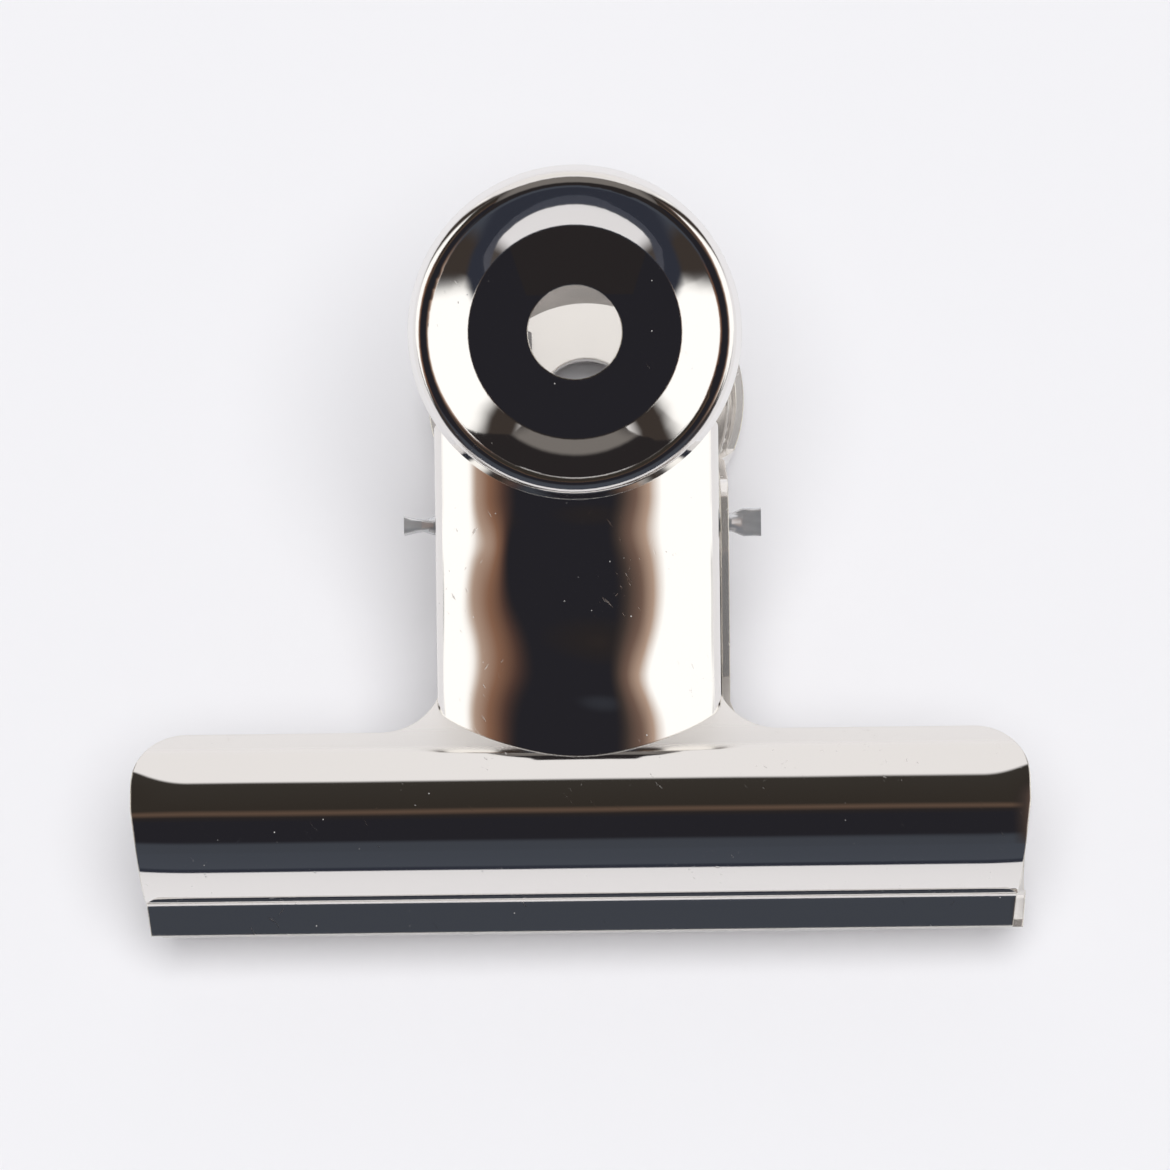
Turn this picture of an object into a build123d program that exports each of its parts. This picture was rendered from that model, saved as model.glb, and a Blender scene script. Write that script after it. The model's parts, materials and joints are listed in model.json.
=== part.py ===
from build123d import *
from math import asin, atan2, ceil, cos, degrees, hypot, pi, radians, sin, sqrt, tan
import os

# A round-head bulldog clip: two identical sheet stampings, a wire pin and a torsion spring, in millimetres.
# Each piece is drawn about the pin: X along the jaws, Y to the pads, Z out from the clip's middle plane.
# The finished clip is then laid on its back, as on a table.

# Sheet
sheet = 0.7
bend_radius = 2.0

# Jaw bar
jaw_width = 75.0
jaw_reach = 34.9
roll_radius = 8.6
front_radius = 6.15
front_turn = 25.0
shoulder_turn = 40.0
shoulder_reach = 6.6
flange_length = 2.8
flange_drop = 20.0
flange_bend = 0.5
lip_inset = 1.2
lip_gap = 0.2
bar_corner = 4.5
flare_radius = 5.2

# Neck and ears
neck_width = 23.9
neck_height = 11.7
neck_rise = 12.0
arch_rise = 4.2
ear_radius = 3.0
ear_round = 2.4
ear_clearance = 0.2

# Finger pad
pad_reach = 16.5
pad_radius = 13.9
pad_step = 0.85
rim_radius = 0.95
rim_depth = 3.0
skirt_draft = 12.0
dish_slope = 40.0
crest_slope = 30.5
flat_radius = 8.9
hole_radius = 3.9
skirt_back = 5.0

# Pivot pin
pin_radius = 0.8
pin_fit = 0.05
pin_overhang = 2.8
pinch_width = 2.4
pinch_thickness = 0.9
pinch_length = 1.5
tip_thickness = 1.5
pinch_corner = 0.2
pinch_play = 0.3
left_pinch_turn = 94.0
right_pinch_turn = 12.0

# Torsion spring
wire_radius = 0.65
coil_radius = 2.2
coil_pitch = 2.3
coil_turns = 5
leg_reach = 18.5
leg_tip = 4.0
leg_bend = 3.0
leg_seat = 0.15
gap_samples = 420

# Room for cuts past the solids
spare = 5.0

# Places worked out from the sizes
lip_up = lip_gap / 2 + sheet / cos(radians(flange_drop))
crease_y = flange_length * cos(radians(flange_drop)) - jaw_reach
crease_up = lip_up + flange_length * sin(radians(flange_drop))
front_y = crease_y + front_radius
front_up = (roll_radius - front_radius) * cos(radians(front_turn))
roll_y = front_y + (roll_radius - front_radius) * sin(radians(front_turn))
edge_y = roll_y + shoulder_reach
ear_shift = (sheet + ear_clearance) / 2
neck_side = neck_width / 2 - sheet / 2
neck_length = pad_reach + jaw_reach - roll_radius
pad_flat = neck_height + pad_step
skirt_height = rim_depth - rim_radius * (1 - sin(radians(skirt_draft)))
crest_radius = pad_radius - rim_radius * cos(radians(skirt_draft)) - skirt_height * tan(radians(skirt_draft))
slope_width = crest_radius - rim_radius * sin(radians(crest_slope)) - flat_radius
dish_radius = slope_width / (sin(radians(dish_slope)) - sin(radians(crest_slope)))
slope_rise = dish_radius * (cos(radians(crest_slope)) - cos(radians(dish_slope)))
crest_rise = slope_rise + rim_radius * (1 - cos(radians(crest_slope)))
pad_crest = pad_flat + crest_rise
rim_bottom = pad_crest - rim_depth
depth = neck_height + 2 * ear_radius

# The plane across the neck at the pad's centre: its X is the clip's X, and its Y rises square to the neck
pad_plane = Plane.XZ.rotated((neck_rise, 0, 0)).offset(-pad_reach)
pad_axis = Axis(pad_plane.origin, pad_plane.y_dir)


# Y and Z of a point that is given along the sloping neck and square to it, from the pin
def beside_pin(along, up):
    slope = radians(neck_rise)
    return (along * cos(slope) - up * sin(slope), along * sin(slope) + up * cos(slope))


# One stamping: filled outer volumes, hollowed by the same volumes one sheet smaller, then trimmed
with BuildPart() as stamping:
    # Jaw bar: a flange turned out at the lip, a front wall rolled over the crest, and the shoulder
    with BuildSketch(Plane.YZ) as roll_side:
        with BuildLine():
            flange = Line((-jaw_reach, lip_up), (crease_y, crease_up))
            Line(flange @ 1, (crease_y, front_up))
            CenterArc((front_y, front_up), front_radius, 180, front_turn - 90)
            roll = CenterArc((roll_y, 0), roll_radius, 90 + front_turn, -front_turn - shoulder_turn)
            run = Line(roll @ 1, roll @ 1 + (roll % 1) * depth)
            Polyline(run @ 1, (-jaw_reach, (run @ 1).Y), flange @ 0)
        make_face()
        fillet(roll_side.vertices().sort_by_distance(flange @ 1)[0], flange_bend)
    extrude(amount=jaw_width / 2, both=True)

    # Outline of the bar from above: round ends, a slight taper to the lip, flares into the neck
    with BuildSketch() as bar_outline:
        with BuildLine():
            Polyline(
                (lip_inset - jaw_width / 2, -jaw_reach),
                (-jaw_width / 2, roll_y),
                (-jaw_width / 2, edge_y),
                (-neck_side, edge_y),
                (-neck_side, 0),
                (neck_side, 0),
                (neck_side, edge_y),
                (jaw_width / 2, edge_y),
                (jaw_width / 2, roll_y),
                (jaw_width / 2 - lip_inset, -jaw_reach),
                close=True,
            )
        make_face()
        corners = bar_outline.vertices().group_by(Axis.Y)[2].sort_by(Axis.X)
        fillet(corners[1:3], flare_radius)
        corners = bar_outline.vertices().group_by(Axis.Y)[2].sort_by(Axis.X)
        fillet([corners[0], corners[-1]], bar_corner)
    extrude(amount=roll_radius + depth, both=True, mode=Mode.INTERSECT)

    # Arched neck with its two sides turned down
    with BuildSketch(pad_plane) as neck_section:
        with BuildLine():
            arch = ThreePointArc(
                (-neck_width / 2, neck_height - arch_rise),
                (0, neck_height),
                (neck_width / 2, neck_height - arch_rise),
            )
            Polyline(arch @ 1, (neck_width / 2, -depth), (-neck_width / 2, -depth), arch @ 0)
        make_face()
        fillet(neck_section.vertices().group_by(Axis.Y)[-1], bend_radius)
    extrude(amount=neck_length)

    # Round pad: a flat centre, a curved slope up to the rim's crest and a skirt turned down
    with BuildSketch(pad_plane) as pad_section:
        with BuildLine():
            flat = Line((0, pad_flat), (flat_radius, pad_flat))
            dish_x = flat_radius + dish_radius * sin(radians(dish_slope))
            dish_up = pad_flat - dish_radius * cos(radians(dish_slope))
            CenterArc((dish_x, dish_up), dish_radius, 90 + dish_slope, crest_slope - dish_slope)
            rim_turn = skirt_draft - crest_slope - 90
            rim = CenterArc((crest_radius, pad_crest - rim_radius), rim_radius, 90 + crest_slope, rim_turn)
            skirt = Line(rim @ 1, (pad_radius, rim_bottom))
            Polyline(skirt @ 1, (pad_radius, -depth), (0, -depth), flat @ 0)
        make_face()
    revolve(axis=pad_axis)

    # Hollow out each volume by one sheet
    with BuildSketch(Plane.YZ):
        add(roll_side.sketch_local)
        offset(amount=-sheet, mode=Mode.REPLACE)
    extrude(amount=jaw_width / 2 + spare, both=True, mode=Mode.SUBTRACT)
    with BuildSketch(pad_plane):
        add(neck_section.sketch_local)
        offset(amount=-sheet, mode=Mode.REPLACE)
    extrude(amount=neck_length, mode=Mode.SUBTRACT)
    with BuildSketch(pad_plane):
        add(pad_section.sketch_local)
        offset(amount=-sheet, kind=Kind.INTERSECTION, mode=Mode.REPLACE)
    revolve(axis=pad_axis, mode=Mode.SUBTRACT)

    # Trim the underside: the lip, the ears round the pin and the skirt of the pad
    heel_y = edge_y + flare_radius
    heel_drop = (heel_y - (roll @ 1).X) * tan(radians(shoulder_turn)) + sheet / cos(radians(shoulder_turn))
    far_end = beside_pin(pad_reach + pad_radius + depth, rim_bottom)
    with BuildSketch(Plane.YZ) as under_side:
        with BuildLine():
            Polyline(
                (-jaw_reach - spare, lip_gap / 2),
                (heel_y, lip_gap / 2),
                (heel_y, (roll @ 1).Y - heel_drop),
                (-ear_radius, -ear_radius),
                (ear_radius, -ear_radius),
                beside_pin(pad_reach - skirt_back, rim_bottom),
                far_end,
                (far_end[0], -2 * depth),
                (-jaw_reach - spare, -2 * depth),
                close=True,
            )
        make_face()
        fillet(under_side.vertices().group_by(Axis.Y)[1], ear_round)
    extrude(amount=jaw_width / 2 + spare, both=True, mode=Mode.SUBTRACT)

    # Hole in the pad, and the pin's holes in the ears
    with BuildSketch(Plane(pad_axis.position, z_dir=pad_axis.direction)):
        Circle(hole_radius)
    extrude(amount=pad_crest + spare, both=True, mode=Mode.SUBTRACT)
    with BuildSketch(Plane.YZ):
        Circle(pin_radius + pin_fit)
    extrude(amount=neck_width, both=True, mode=Mode.SUBTRACT)

# Pin: a wire through the ears, pinched near both ends so that the tips flare
with BuildPart() as pin:
    ear_face = neck_width / 2 + ear_shift
    with BuildSketch(Plane.YZ):
        Circle(pin_radius)
    extrude(amount=ear_face + pinch_play, both=True)
    for side, turn in ((1, right_pinch_turn), (-1, left_pinch_turn)):
        with BuildSketch(Plane.YZ.offset(side * (ear_face + pinch_play))):
            Circle(pin_radius)
        with BuildSketch(Plane.YZ.offset(side * (ear_face + pin_overhang - pinch_length))):
            RectangleRounded(pinch_width, pinch_thickness, pinch_corner, rotation=turn)
        with BuildSketch(Plane.YZ.offset(side * (ear_face + pin_overhang))):
            RectangleRounded(pinch_width, tip_thickness, pinch_corner, rotation=turn)
        loft(ruled=True)

# Spring: the legs bear on the pads and leave the coil on the side of their own plate, so squeezing winds it
leg_up = pad_flat - sheet - leg_seat - wire_radius
leg_slope = atan2(leg_up, leg_reach) - asin(coil_radius / hypot(leg_reach, leg_up))
leg_angle = radians(neck_rise) + leg_slope
winding = 2 * pi * coil_turns - pi - 2 * leg_angle
pitch_slope = coil_pitch / (2 * pi)
coil_half = pitch_slope * winding / 2


# Where a leg's bend starts, where it ends and where its tip is; side 1 is the front leg, -1 the rear one
def leg_places(side):
    cut = leg_bend * tan(leg_slope / 2)
    before = beside_pin(leg_reach - cut * cos(leg_slope), leg_up - cut * sin(leg_slope))
    after = beside_pin(leg_reach + cut, leg_up)
    tip = beside_pin(leg_reach + leg_tip, leg_up)
    return [Vector(side * coil_half, y, side * z) for y, z in (before, after, tip)]


# A place on the coil, and the way the wire runs there, after a turn from the rear leg
def coil_place(turned):
    angle = -pi / 2 - leg_angle - turned
    place = Vector(pitch_slope * turned - coil_half, coil_radius * cos(angle), coil_radius * sin(angle))
    level = turned in (0, winding)
    way = Vector(0 if level else pitch_slope, coil_radius * sin(angle), -coil_radius * cos(angle))
    return place, way.normalized()


# Two arcs from one place to the next, with one tangent where they meet
def biarc(start, start_way, end, end_way):
    chord = end - start
    square = 2 * (1 - start_way.dot(end_way))
    linear = 2 * chord.dot(start_way + end_way)
    reach = (sqrt(linear**2 + 4 * square * chord.dot(chord)) - linear) / (2 * square)
    leaving = start + start_way * reach
    coming = end - end_way * reach
    meeting = (leaving + coming) * 0.5
    TangentArc(start, meeting, tangent=start_way)
    TangentArc(meeting, end, tangent=coming - leaving)


with BuildPart() as spring:
    with BuildLine() as wire_path:
        halves = ceil(winding / pi)
        stops = [coil_place(winding * step / halves) for step in range(halves + 1)]
        before, after, tip = leg_places(-1)
        Line(tip, after)
        TangentArc(after, before, tangent=after - tip)
        Line(before, stops[0][0])
        for (start, start_way), (end, end_way) in zip(stops, stops[1:]):
            biarc(start, start_way, end, end_way)
        before, after, tip = leg_places(1)
        Line(stops[-1][0], before)
        TangentArc(before, after, tangent=stops[-1][1])
        Line(after, tip)
    with BuildSketch(Plane(wire_path.line @ 0, z_dir=wire_path.line % 0)):
        Circle(wire_radius)
    sweep()

# Least gap between the wire and itself, between places more than half a turn apart along it
wire_run = wire_path.wire()
samples = [wire_run @ (step / gap_samples) for step in range(gap_samples + 1)]
apart = ceil(pi * coil_radius * gap_samples / wire_run.length)
pairs = ((a, b) for place, a in enumerate(samples) for b in samples[place + apart:])
wire_gap = min((a - b).length for a, b in pairs) - 2 * wire_radius
print(f"spring: {wire_run.length:.1f} mm of wire, least gap to itself {wire_gap:.2f} mm")


# Tilt at which the rear roll and the rear pad's rim touch the table, with the rim's edge that far along
def tilt_onto(along):
    rim_y, rim_z = beside_pin(along, pad_crest - rim_radius)
    span = hypot(rim_y - roll_y, rim_z)
    return degrees(atan2(rim_z, rim_y - roll_y) - asin((roll_radius - rim_radius) / span))


# Lay the clip on its back, on the roll and on whichever edge of the rim is lower
rest_tilt = max(tilt_onto(pad_reach - crest_radius), tilt_onto(pad_reach + crest_radius))
pin_height = roll_radius - roll_y * sin(radians(rest_tilt))
lean = Location((0, 0, 0), (rest_tilt, 0, 0))
turned_over = Location((0, 0, 0), (0, 180, 0))
# The plates sit half a sheet and some clearance off centre, each its own way, so that their ears nest
nested = Location((-ear_shift, 0, 0))
reach = Compound([stamping.part.moved(lean), stamping.part.moved(lean * turned_over)]).bounding_box()
laid = Location((0, -reach.center().Y, pin_height), (rest_tilt, 0, 0))

with BuildPart() as front_plate:
    with Locations(laid * nested):
        add(stamping.part)
with BuildPart() as rear_plate:
    with Locations(laid * turned_over * nested):
        add(stamping.part)
with BuildPart() as pivot_pin:
    with Locations(laid):
        add(pin.part)
with BuildPart() as torsion_spring:
    with Locations(laid):
        add(spring.part)

pad_edge = atan2(*reversed(beside_pin(pad_reach + pad_radius, rim_bottom)))
print(f"pin axis at {laid.position}, tilt {rest_tilt:.2f}, pads meet at {degrees(2 * pad_edge):.1f} degrees")

front_plate.part.label = "front_plate"
rear_plate.part.label = "rear_plate"
pivot_pin.part.label = "pivot_pin"
torsion_spring.part.label = "torsion_spring"

os.makedirs("parts", exist_ok=True)
export_step(front_plate.part, "parts/front_plate.step")
export_step(rear_plate.part, "parts/rear_plate.step")
export_step(pivot_pin.part, "parts/pivot_pin.step")
export_step(torsion_spring.part, "parts/torsion_spring.step")
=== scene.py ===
import json
from math import asin, atan2, cos, degrees, hypot, pi, radians, sin, tan
import bmesh
import bpy
from mathutils import Matrix, Quaternion, Vector


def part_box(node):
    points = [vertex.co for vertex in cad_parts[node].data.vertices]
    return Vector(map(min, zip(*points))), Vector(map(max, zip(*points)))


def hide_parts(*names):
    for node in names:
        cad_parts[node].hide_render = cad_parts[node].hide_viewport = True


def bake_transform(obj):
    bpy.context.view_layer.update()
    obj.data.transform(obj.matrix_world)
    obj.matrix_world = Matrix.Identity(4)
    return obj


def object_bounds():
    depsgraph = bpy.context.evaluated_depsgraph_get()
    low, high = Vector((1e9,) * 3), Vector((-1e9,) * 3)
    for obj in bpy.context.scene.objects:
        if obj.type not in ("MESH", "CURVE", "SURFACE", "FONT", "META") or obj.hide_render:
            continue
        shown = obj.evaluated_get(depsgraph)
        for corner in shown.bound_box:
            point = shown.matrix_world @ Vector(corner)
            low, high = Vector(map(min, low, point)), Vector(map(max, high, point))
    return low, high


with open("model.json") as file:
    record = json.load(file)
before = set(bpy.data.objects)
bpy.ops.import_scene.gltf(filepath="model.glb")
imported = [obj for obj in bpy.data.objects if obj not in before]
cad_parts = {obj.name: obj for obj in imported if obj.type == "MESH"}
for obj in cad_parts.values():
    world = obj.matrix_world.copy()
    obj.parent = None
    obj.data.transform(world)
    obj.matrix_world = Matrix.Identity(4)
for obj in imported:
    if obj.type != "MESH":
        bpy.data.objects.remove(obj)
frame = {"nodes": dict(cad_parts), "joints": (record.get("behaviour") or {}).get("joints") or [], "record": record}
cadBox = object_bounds()
scene = bpy.context.scene
scene.view_settings.view_transform = "Standard"
mm = 0.001

# The clip's own axes about the pin: "along" runs to the pads, "out" leaves the middle plane
pinPlace = Vector(frame["joints"][0]["pos_m"])
jawMount = next(m for m in frame["record"]["mounts"] if m["name"] == "jaws")
along = -Vector(jawMount["axis"])
across = Vector((1, 0, 0))
out = across.cross(along)
clipToRow = Matrix((across, along, out)).transposed().to_4x4()
clipToRow.translation = pinPlace
print("frame loaded, clip tilted", round(degrees(atan2(along.z, along.y)), 2))


# Shader maths: wraps one socket, and each operator adds a Math node
class Shade:
    def __init__(self, tree, socket=None):
        self.tree = tree
        self.socket = socket

    def node(self, kind, settings=None, inputs=None, output=0):
        made = self.tree.nodes.new(kind)
        for name, value in (settings or {}).items():
            if name == "stops":
                ramp = made.color_ramp.elements
                while len(ramp) < len(value):
                    ramp.new(1)
                for stop, (place, colour) in zip(ramp, value):
                    stop.position = place
                    stop.color = colour
            else:
                setattr(made, name, value)
        for name, value in (inputs or {}).items():
            if isinstance(value, Shade):
                self.tree.links.new(value.socket, made.inputs[name])
            else:
                made.inputs[name].default_value = value
        return Shade(self.tree, made.outputs[output])

    def math(self, operation, *values):
        inputs = dict(enumerate((self, *values)))
        return self.node("ShaderNodeMath", {"operation": operation}, inputs)

    def __add__(self, other):
        return self.math("ADD", other)

    def __sub__(self, other):
        return self.math("SUBTRACT", other)

    def __mul__(self, other):
        return self.math("MULTIPLY", other)

    def __rsub__(self, other):
        return self.node("ShaderNodeMath", {"operation": "SUBTRACT"}, {0: other, 1: self})

    __radd__ = __add__
    __rmul__ = __mul__

    def clamp(self, low, high):
        return self.node("ShaderNodeMapRange", {"interpolation_type": "SMOOTHSTEP"},
                         {"Value": self, "From Min": low, "From Max": high})

    def dot(self, first, second):
        return self.node("ShaderNodeVectorMath", {"operation": "DOT_PRODUCT"},
                         {0: first, 1: second}, "Value")

    def mix(self, first, second):
        return self.node("ShaderNodeMix", {"data_type": "RGBA"}, {0: self, 6: first, 7: second}, 2)


def split(place):
    parts = place.node("ShaderNodeSeparateXYZ", {}, {0: place})
    return [Shade(place.tree, socket) for socket in parts.socket.node.outputs]


def newMaterial(name, metallic, colour):
    material = bpy.data.materials.new(name)
    material.use_nodes = True
    shader = material.node_tree.nodes["Principled BSDF"]
    shader.inputs["Metallic"].default_value = metallic
    shader.inputs["Base Color"].default_value = colour
    return material, shader, Shade(material.node_tree)


def feed(shader, name, value):
    value.tree.links.new(value.socket, shader.inputs[name])


# Bright nickel plate: a mirror outside and duller inside, with scratches, specks of dust and a painted highlight
# along its turned edges
nickel = {
    "colour": (0.84, 0.815, 0.785, 1),
    # painted highlight colour for the turned edges
    "paintedEdgeHighlight": (0.95, 0.89, 0.76, 1),
    "dull": (0.92, 0.89, 0.86, 1),
    "shoulder": (0.86, 0.84, 0.82, 1),
    "dust": (0.72, 0.71, 0.70, 1),
    "roughness": 0.03,
    "insideFacing": (-0.25, -0.05),
    "insideRoughness": 0.08,
    "insideMetal": 0.80,
    "shoulderFacing": (0.52, 0.62),
    "shoulderRoughness": 0.30,
    "edgeRound": 0.00018,
    "edgeTurn": (0.75, 0.98),
    "edgeRoughness": 0.1,
    "patchScale": 140,
    "patchRoughness": 0.02,
    "insidePatchRoughness": 0.1,
    "scratchTurns": (  # each turn, with the patches that it is kept to
        ((0.3, 0.2, 0.7), (0.48, 0.63)),
        ((0.5, -0.3, -0.9), (0.55, 0.70)),
    ),
    "scratchScale": 3000,
    "scratchLength": 8,
    "scratchCore": (0.68, 0.74),
    "scratchRoughness": 0.35,
    "scratchHeight": 0.000002,
    "speckScale": 700,
    "speckSize": (0.02, 0.06),
    "speckPatches": (0.50, 0.56),
    "speckCover": 0.8,
    "speckMetal": 0.2,
    "speckRoughness": 0.5,
    "waveScale": 58,
    "waveHeight": 0.00005,
    "neckWaveHeight": 0.0012,
    "neckFrom": (-0.020, -0.014),
    "neckTo": (-0.0045, 0.0005),
    "swells": (  # in millimetres: across, along, half width, half length, height
        (0, -1.0, 4.5, 4.5, 0.60),
        (0, -14.5, 4.5, 3.2, 0.55),
        (-6.4, -2.5, 1.1, 3.5, 0.12),
    ),
    "endFrom": 0.0330,
    "endTo": 0.0375,
    "endDrop": 0.0005,
    "endReach": (-0.0250, -0.0205),
}


def nickelPlate(name, outward):
    material, shader, start = newMaterial(name, 1, nickel["colour"])
    place = start.node("ShaderNodeTexCoord", output="Object")
    facing = start.node("ShaderNodeTexCoord", output="Normal")
    rounded = start.node("ShaderNodeBevel", {"samples": 6}, {"Radius": nickel["edgeRound"]})
    inside = 1 - start.dot(facing, outward).clamp(*nickel["insideFacing"])
    reach = start.dot(place, along) - pinPlace.dot(along)
    bar = 1 - reach.clamp(*nickel["neckFrom"])
    shoulder = bar * start.dot(facing, along).clamp(*nickel["shoulderFacing"])
    # scratches run two ways, each kept to a few patches
    patches = start.node("ShaderNodeTexNoise", {},
                         {"Vector": place, "Scale": nickel["patchScale"], "Detail": 4})
    scratch = 0
    for turn, kept in nickel["scratchTurns"]:
        drawn = start.node("ShaderNodeMapping", {"vector_type": "TEXTURE"},
                           {"Vector": place, "Rotation": turn,
                            "Scale": (1, nickel["scratchLength"], 1)})
        lines = start.node("ShaderNodeTexNoise", {},
                           {"Vector": drawn, "Scale": nickel["scratchScale"], "Detail": 2})
        scratch = lines.clamp(*nickel["scratchCore"]) * patches.clamp(*kept) + scratch
    specks = start.node("ShaderNodeTexVoronoi", {},
                        {"Vector": place, "Scale": nickel["speckScale"]})
    speck = (1 - specks.clamp(*nickel["speckSize"])) * patches.clamp(*nickel["speckPatches"])
    speck = speck * nickel["speckCover"]
    # painted highlight: the plate's colour is lighter and yellower where an edge turns
    flat = start.node("ShaderNodeNewGeometry", output="Normal")
    edgeHighlight = 1 - start.dot(rounded, flat).clamp(*nickel["edgeTurn"])
    colour = shoulder.mix(inside.mix(nickel["colour"], nickel["dull"]), nickel["shoulder"])
    colour = edgeHighlight.mix(colour, nickel["paintedEdgeHighlight"])
    feed(shader, "Base Color", speck.mix(colour, nickel["dust"]))
    metal = 1 - speck * (1 - nickel["speckMetal"])
    feed(shader, "Metallic", metal * (1 - inside * (1 - nickel["insideMetal"])))
    rough = nickel["roughness"] + scratch * nickel["scratchRoughness"]
    rough = rough + patches * nickel["patchRoughness"]
    rough = rough + inside * (nickel["insideRoughness"] + patches * nickel["insidePatchRoughness"])
    rough = rough + speck * nickel["speckRoughness"] + edgeHighlight * nickel["edgeRoughness"]
    rough = rough + shoulder * nickel["shoulderRoughness"]
    feed(shader, "Roughness", rough)
    # the neck is uneven between the bar and the pin, and the bar's ends turn down a little
    neck = (1 - bar) * (1 - reach.clamp(*nickel["neckTo"]))
    wave = start.node("ShaderNodeTexNoise", {},
                      {"Vector": place, "Scale": nickel["waveScale"], "Detail": 1})
    depth = (wave - 0.5) * (neck * nickel["neckWaveHeight"] + nickel["waveHeight"])
    depth = depth + (speck - scratch) * nickel["scratchHeight"]
    sideways = split(place)[0]
    for x, r, wide, long, height in nickel["swells"]:
        u = (sideways - x * mm) * (1 / (wide * mm))
        v = (reach - r * mm) * (1 / (long * mm))
        depth = depth + neck * ((u * u + v * v) * -0.5).math("EXPONENT") * (height * mm)
    past = (sideways.math("ABSOLUTE") - nickel["endFrom"]).math("MAXIMUM", 0)
    past = past * (1 / (nickel["endTo"] - nickel["endFrom"]))
    depth = depth - past * past * (1 - reach.clamp(*nickel["endReach"])) * nickel["endDrop"]
    feed(shader, "Normal", start.node("ShaderNodeBump", {},
                                      {"Distance": 1, "Height": depth, "Normal": rounded}))
    return material


# Drawn wire: lines along X, duller than the plate
wire = {
    "pin": {"colour": (0.80, 0.81, 0.83, 1), "roughness": 0.14, "metallic": 0.72},
    "spring": {"colour": (0.52, 0.52, 0.53, 1), "roughness": 0.22, "metallic": 1},
    "lineScale": 1800,
    "lineStretch": 0.08,
    "lineRoughness": 0.18,
    "lineStrength": 0.12,
    "lineDepth": 0.0002,
    "stainScale": 700,
    "stainEdges": (0.1, 0.5),
    "stainShade": 0.8,
    "stainShine": 0.06,
}


def drawnWire(name, use):
    colour = use["colour"]
    material, shader, start = newMaterial(name, use["metallic"], colour)
    place = start.node("ShaderNodeTexCoord", output="Object")
    drawn = start.node("ShaderNodeMapping", {},
                       {"Vector": place, "Scale": (wire["lineStretch"], 1, 1)})
    lines = start.node("ShaderNodeTexNoise", {},
                       {"Vector": drawn, "Scale": wire["lineScale"], "Detail": 3})
    stains = start.node("ShaderNodeTexNoise", {},
                        {"Vector": place, "Scale": wire["stainScale"], "Detail": 3})
    stained = [wire["stainShade"] * c for c in colour[:3]] + [1]
    clean = (lines * stains).clamp(*wire["stainEdges"])
    feed(shader, "Base Color", clean.mix(stained, colour))
    rough = use["roughness"] + lines * wire["lineRoughness"] - stains * wire["stainShine"]
    feed(shader, "Roughness", rough)
    feed(shader, "Normal", start.node("ShaderNodeBump", {},
                                      {"Strength": wire["lineStrength"],
                                       "Distance": wire["lineDepth"], "Height": lines}))
    return material


def finish(node, material):
    frame["nodes"][node].data.materials.clear()
    frame["nodes"][node].data.materials.append(material)


finish("front_plate", nickelPlate("frontNickel", out))
finish("rear_plate", nickelPlate("rearNickel", -out))
finish("pivot_pin", drawnWire("pinWire", wire["pin"]))
print("plates and pin finished")

# Torsion spring, in millimetres about the pin: rear leg, coil and front leg in one wire
spring = {
    "wireRadius": 0.65,
    "coilRadius": 2.2,
    "pitch": 2.3,
    "turns": 5,
    "legReach": 18.5,
    "legTip": 4.0,
    "legBend": 3.0,
    "legUp": 11.05,
    "neckRise": 12.0,
    "sides": 20,
    "stepsPerTurn": 40,
    "stepsPerBend": 8,
    "tipInset": 0.13,
    "tipDepth": 0.078,
    "mergeGap": 0.001,
}


def windSpring():
    toBend = hypot(spring["legReach"], spring["legUp"])
    slope = atan2(spring["legUp"], spring["legReach"]) - asin(spring["coilRadius"] / toBend)
    rise = radians(spring["neckRise"])
    winding = 2 * pi * spring["turns"] - pi - 2 * (rise + slope)
    half = spring["pitch"] * winding / (4 * pi)
    cut = spring["legBend"] * tan(slope / 2)
    straight = (toBend ** 2 - spring["coilRadius"] ** 2) ** 0.5 - cut

    mesh = bmesh.new()
    made = bmesh.ops.create_circle(mesh, radius=spring["wireRadius"], segments=spring["sides"])
    ring = made["verts"]
    # the wire starts at the coil's rear end, seen square on
    legWay = rise + slope
    turnIn = Matrix.Rotation(pi / 2 - legWay, 4, "X")
    bmesh.ops.transform(mesh, matrix=turnIn, verts=ring)
    reach = spring["coilRadius"]
    startAt = Vector((-half, -reach * sin(legWay), -reach * cos(legWay)))
    bmesh.ops.translate(mesh, vec=startAt, verts=ring)
    rearEdges = list(mesh.edges)
    steps = round(spring["stepsPerTurn"] * winding / (2 * pi))
    wound = bmesh.ops.spin(mesh, geom=rearEdges, axis=(1, 0, 0), angle=-winding, steps=steps,
                           dvec=(2 * half / steps, 0, 0))
    frontEdges = [e for e in wound["geom_last"] if isinstance(e, bmesh.types.BMEdge)]
    for edges, side in ((rearEdges, -1), (frontEdges, 1)):
        edges = pull(mesh, edges, Vector((0, cos(legWay), side * sin(legWay))) * straight)
        bendStart = centreOf(edges)
        square = Vector((0, sin(legWay), -side * cos(legWay)))
        bent = bmesh.ops.spin(mesh, geom=edges, cent=bendStart + square * spring["legBend"],
                              axis=(1, 0, 0), angle=-side * slope, steps=spring["stepsPerBend"])
        edges = [e for e in bent["geom_last"] if isinstance(e, bmesh.types.BMEdge)]
        tip = Vector((0, cos(rise), side * sin(rise))) * (spring["legTip"] - cut)
        edges = pull(mesh, edges, tip)
        closed = bmesh.ops.holes_fill(mesh, edges=edges, sides=0)["faces"]
        bmesh.ops.inset_region(mesh, faces=closed, thickness=spring["tipInset"],
                               depth=spring["tipDepth"])
    bmesh.ops.remove_doubles(mesh, verts=mesh.verts, dist=spring["mergeGap"])
    bmesh.ops.recalc_face_normals(mesh, faces=mesh.faces)
    bmesh.ops.transform(mesh, matrix=clipToRow @ Matrix.Scale(mm, 4), verts=mesh.verts)
    return finished("springWire", mesh), half


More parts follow.
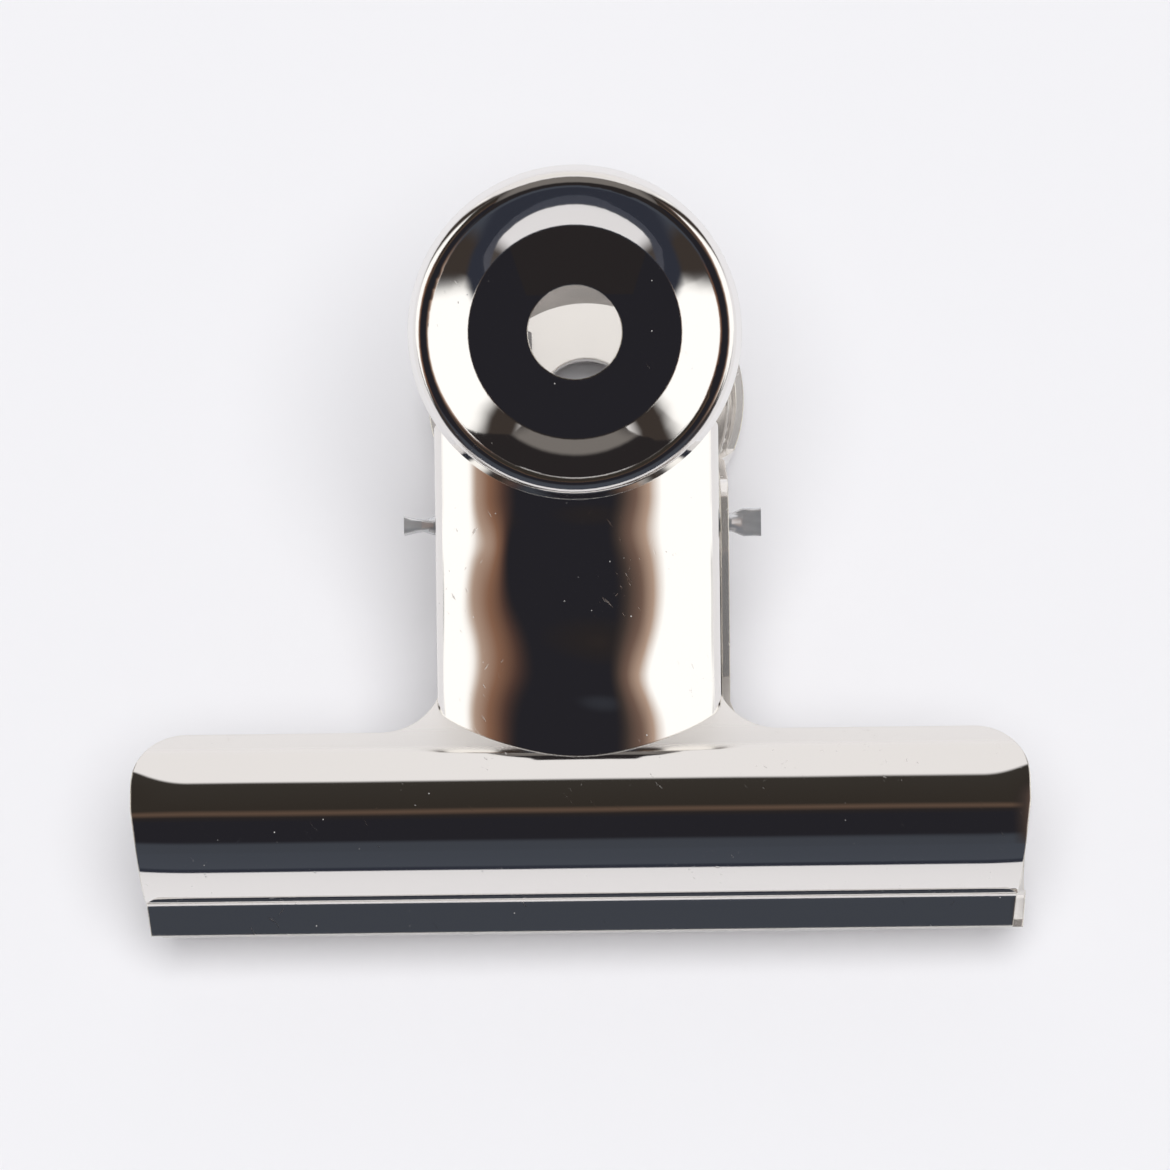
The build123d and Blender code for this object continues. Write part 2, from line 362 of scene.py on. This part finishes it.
# Extrudes an open ring of edges by a vector and gives the new ring
def pull(mesh, edges, way):
    grown = bmesh.ops.extrude_edge_only(mesh, edges=edges)["geom"]
    verts = {v for v in grown if isinstance(v, bmesh.types.BMVert)}
    bmesh.ops.translate(mesh, vec=way, verts=list(verts))
    return [e for e in grown if isinstance(e, bmesh.types.BMEdge) and set(e.verts) <= verts]


def centreOf(edges):
    verts = {v for e in edges for v in e.verts}
    return sum((v.co for v in verts), Vector()) / len(verts)


def finished(name, mesh):
    data = bpy.data.meshes.new(name)
    for face in mesh.faces:
        face.smooth = True
    mesh.to_mesh(data)
    mesh.free()
    piece = bpy.data.objects.new(name, data)
    scene.collection.objects.link(piece)
    return piece


springPiece, coilHalf = windSpring()
springPiece.data.materials.append(drawnWire("springSteel", wire["spring"]))
inside = (coilHalf - spring["wireRadius"]) * mm
pinPlace - across * inside
pinPlace + across * inside
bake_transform(springPiece)
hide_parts("torsion_spring")
print("spring wound,", len(springPiece.data.polygons), "faces")

# Camera, from the photograph: its frame is 1170 pixels wide, and the jaw bar spans 902 of them
camera = {
    "elevation": 67.0,
    "distance": 0.50,
    "framePixels": 1170,
    "barPixels": 902,
    "barNearer": 0.0126,
    "centrePixels": (585, 585),
    "pinPixels": (583.3, 524.0),
    "roll": 0.7,
    "sensor": 36,
    "clipStart": 0.01,
}


def placeCamera():
    low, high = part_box("front_plate")
    barWidth = high[0] - low[0]
    atBar = barWidth / camera["barPixels"]
    atPin = atBar * camera["distance"] / (camera["distance"] - camera["barNearer"])
    raised = radians(camera["elevation"])
    back = Vector((0, -cos(raised), sin(raised)))
    down = Vector((0, -sin(raised), -cos(raised)))
    offset = [(c - p) * atPin for c, p in zip(camera["centrePixels"], camera["pinPixels"])]
    aim = pinPlace + across * offset[0] + down * offset[1]
    data = bpy.data.cameras.new("camera")
    data.sensor_width = camera["sensor"]
    data.lens = camera["sensor"] * camera["distance"] / (camera["framePixels"] * atPin)
    data.clip_start = camera["clipStart"]
    taken = bpy.data.objects.new("camera", data)
    taken.location = aim + back * camera["distance"]
    taken.rotation_mode = "QUATERNION"
    level = (-back).to_track_quat("-Z", "Y")
    taken.rotation_quaternion = level @ Quaternion((0, 0, 1), radians(-camera["roll"]))
    scene.collection.objects.link(taken)
    scene.camera = taken


placeCamera()
print("camera placed")

# White table, whose far corners and far front look dark to the metal alone: painted reflections, seen by glossy
# rays only
table = {
    "size": 3.0,
    "colour": (0.885, 0.880, 0.905, 1),
    "roughness": 0.7,
    "corner": (0.05, 0.04, 0.035, 1),
    "cornerStart": 0.10,
    "cornerEnd": 0.20,
    "front": (0.045, 0.052, 0.075, 1),
    "frontStart": 0.42,
    "frontEnd": 0.45,
}

# The room that the metal mirrors, in degrees from straight up: "profile" from the back to the
# front, and "sides" from the left to the right, which shows where both alphas are 1
room = {
    "ambient": (0.33, 0.33, 0.335, 1),
    "backdrop": (0.90, 0.895, 0.93, 1),
    "profile": (
        (-23, (0.94, 0.925, 0.93, 0)),
        (-20, (0.042, 0.037, 0.032, 1)),
        (9, (0.036, 0.030, 0.025, 1)),
        (13, (0.13, 0.085, 0.062, 1)),
        (17, (0.026, 0.022, 0.022, 1)),
        (22, (0.020, 0.0195, 0.025, 1)),
        (44, (0.020, 0.0195, 0.025, 1)),
        (48, (0.055, 0.062, 0.078, 1)),
        (60, (0.058, 0.066, 0.084, 0)),
        (90, (0.065, 0.074, 0.095, 0)),
    ),
    "sides": (
        (-60, (1.25, 1.25, 1.24, 1)),
        (-56, (0.54, 0.41, 0.33, 1)),
        (-47, (0.265, 0.14, 0.09, 1)),
        (-39, (0.09, 0.05, 0.04, 1)),
        (-31, (0.03, 0.025, 0.025, 0)),
        (18, (0.03, 0.025, 0.025, 0)),
        (24, (0.06, 0.045, 0.04, 1)),
        (31, (0.18, 0.115, 0.09, 1)),
        (38, (0.50, 0.36, 0.28, 1)),
        (45, (1.25, 1.25, 1.24, 1)),
    ),
    "horizon": (0.032, 0.036, 0.052, 1),
    "horizonTop": (0.055, 0.11),
    "horizonFront": (0, 0.3),
    "panel": (1.25, 1.25, 1.24, 1),
    "panelEdge": (0.80, 0.87),
    "panelBack": (0, 0.15),
    "panelWider": 0.30,
    "low": (0.50, 0.65),
    "back": (0, 0.1),
    "sideSpread": 0.58,
    "endSpread": 0.80,
    "blur": 0.14,
}


def layTable():
    mesh = bmesh.new()
    bmesh.ops.create_grid(mesh, x_segments=1, y_segments=1, size=table["size"] / 2)
    bmesh.ops.translate(mesh, vec=(0, 0, cadBox[0].z), verts=mesh.verts)
    top = finished("tableTop", mesh)
    material, shader, start = newMaterial("whiteTable", 0, table["colour"])
    shader.inputs["Roughness"].default_value = table["roughness"]
    place = start.node("ShaderNodeTexCoord", output="Object")
    x, y = split(place)[:2]
    away = start.node("ShaderNodeVectorMath", {"operation": "LENGTH"}, {0: place}, "Value")
    mirrored = start.node("ShaderNodeLightPath", output="Is Glossy Ray")
    # painted reflection: dark far corners and a dark far front, for glossy rays only
    corner = mirrored * away.clamp(table["cornerStart"], table["cornerEnd"])
    corner = corner * (1 - openSides(x, y))
    front = mirrored * (y * -1).clamp(table["frontStart"], table["frontEnd"])
    colour = corner.mix(table["colour"], table["corner"])
    feed(shader, "Base Color", front.mix(colour, table["front"]))
    top.data.materials.append(material)


# 1 towards the sides, the front and the back, 0 at the corners between them
def openSides(x, y):
    wide, deep = x.math("ABSOLUTE"), y.math("ABSOLUTE")
    reach = x.node("ShaderNodeMath", {"operation": "MAXIMUM"}, {0: wide, 1: deep})
    blur = room["blur"]
    side = (wide * room["sideSpread"] - deep).math("DIVIDE", reach).clamp(-blur, blur)
    end = (deep * room["endSpread"] - wide).math("DIVIDE", reach).clamp(-blur, blur)
    return side.math("MAXIMUM", end)


def buildRoom():
    world = bpy.data.worlds.new("whiteRoom")
    world.use_nodes = True
    scene.world = world
    start = Shade(world.node_tree)
    x, y, z = split(start.node("ShaderNodeTexCoord", output="Generated"))
    profile, sides = [
        start.node("ShaderNodeValToRGB", {"stops": [(a / 180 + 0.5, c) for a, c in room[name]]},
                   {0: angle * (1 / pi) + 0.5})
        for name, angle in (("profile", (y * -1).math("ARCTAN2", z)), ("sides", x.math("ARCSINE")))
    ]
    covers = [Shade(world.node_tree, ramp.socket.node.outputs["Alpha"])
              for ramp in (profile, sides)]
    seen = (covers[0] * covers[1]).mix(profile, sides)
    # white panels at the sides, wider towards the back
    wider = y.clamp(*room["panelBack"]) * room["panelWider"]
    panel = (x.math("ABSOLUTE") + wider).clamp(*room["panelEdge"])
    seen = panel.mix(seen, room["panel"])
    # the corners between the panels are dark, low down and all the way up at the back
    corner = (1 - z).clamp(*room["low"])
    corner = corner.math("MAXIMUM", (1 - covers[0]) * y.clamp(*room["back"]))
    seen = (corner * (1 - openSides(x, y))).mix(seen, table["corner"])
    level = (1 - z.clamp(*room["horizonTop"])) * (y * -1).clamp(*room["horizonFront"])
    seen = level.mix(seen, room["horizon"])
    colour = start.node("ShaderNodeLightPath", output="Is Glossy Ray").mix(room["ambient"], seen)
    colour = start.node("ShaderNodeLightPath", output="Is Camera Ray").mix(colour, room["backdrop"])
    shine = start.node("ShaderNodeBackground", {}, {"Color": colour})
    target = next(n for n in world.node_tree.nodes if n.type == "OUTPUT_WORLD")
    world.node_tree.links.new(shine.socket, target.inputs["Surface"])


# Two small glowing cards over the pads, which only the metal sees, as painted reflections: one dark with a grey
# patch, one white
cards = {
    "shadeCard": {
        "height": 0.046,
        "reach": (0.008, 0.0231),
        "halfWidths": (0.0045, 0.0090),
        "colour": (0.024, 0.021, 0.022, 1),
        "patch": (0.20, 0.185, 0.175, 1),
        "patchHalf": 0.0078,
        "patchFrom": 0.0172,
        "patchBlur": (0.002, 0.001),
    },
    "lightCard": {
        "height": 0.060,
        "reach": (0.036, 0.062),
        "halfWidths": (0.009, 0.009),
        "colour": (0.92, 0.90, 0.88, 1),
    },
}


def hangCard(name, card):
    mesh = bmesh.new()
    near, far = card["reach"]
    corners = [(-card["halfWidths"][0], near), (card["halfWidths"][0], near),
               (card["halfWidths"][1], far), (-card["halfWidths"][1], far)]
    mesh.faces.new([mesh.verts.new((x, y, card["height"])) for x, y in corners])
    hung = finished(name, mesh)
    material, shader, start = newMaterial(name + "Paper", 0, (0, 0, 0, 1))
    # the card glows in its colour, a painted reflection that only the metal sees
    shader.inputs["Emission Color"].default_value = card["colour"]
    if "patch" in card:
        x, y = split(start.node("ShaderNodeTexCoord", output="Object"))[:2]
        blurX, blurY = card["patchBlur"]
        inset = (card["patchHalf"] - x.math("ABSOLUTE")).clamp(-blurX, blurX)
        patch = inset * (y - card["patchFrom"]).clamp(-blurY, blurY)
        feed(shader, "Emission Color", patch.mix(card["colour"], card["patch"]))
    shader.inputs["Emission Strength"].default_value = 1
    shader.inputs["Specular IOR Level"].default_value = 0
    hung.data.materials.append(material)
    for ray in ("camera", "diffuse", "shadow", "transmission"):
        setattr(hung, "visible_" + ray, False)


layTable()
buildRoom()
for name, card in cards.items():
    hangCard(name, card)

# One wide soft lamp, nearly overhead, the same all over the table
lamp = {"from": (0.05, -0.16, 0.98), "spread": 48, "strength": 2.25}


def hangLamp():
    data = bpy.data.lights.new("softLamp", "SUN")
    data.angle = radians(lamp["spread"])
    data.energy = lamp["strength"]
    hung = bpy.data.objects.new("softLamp", data)
    hung.rotation_mode = "QUATERNION"
    hung.rotation_quaternion = (-Vector(lamp["from"])).to_track_quat("-Z", "Y")
    hung.visible_glossy = False
    scene.collection.objects.link(hung)


hangLamp()
print("table, room and lamp set")
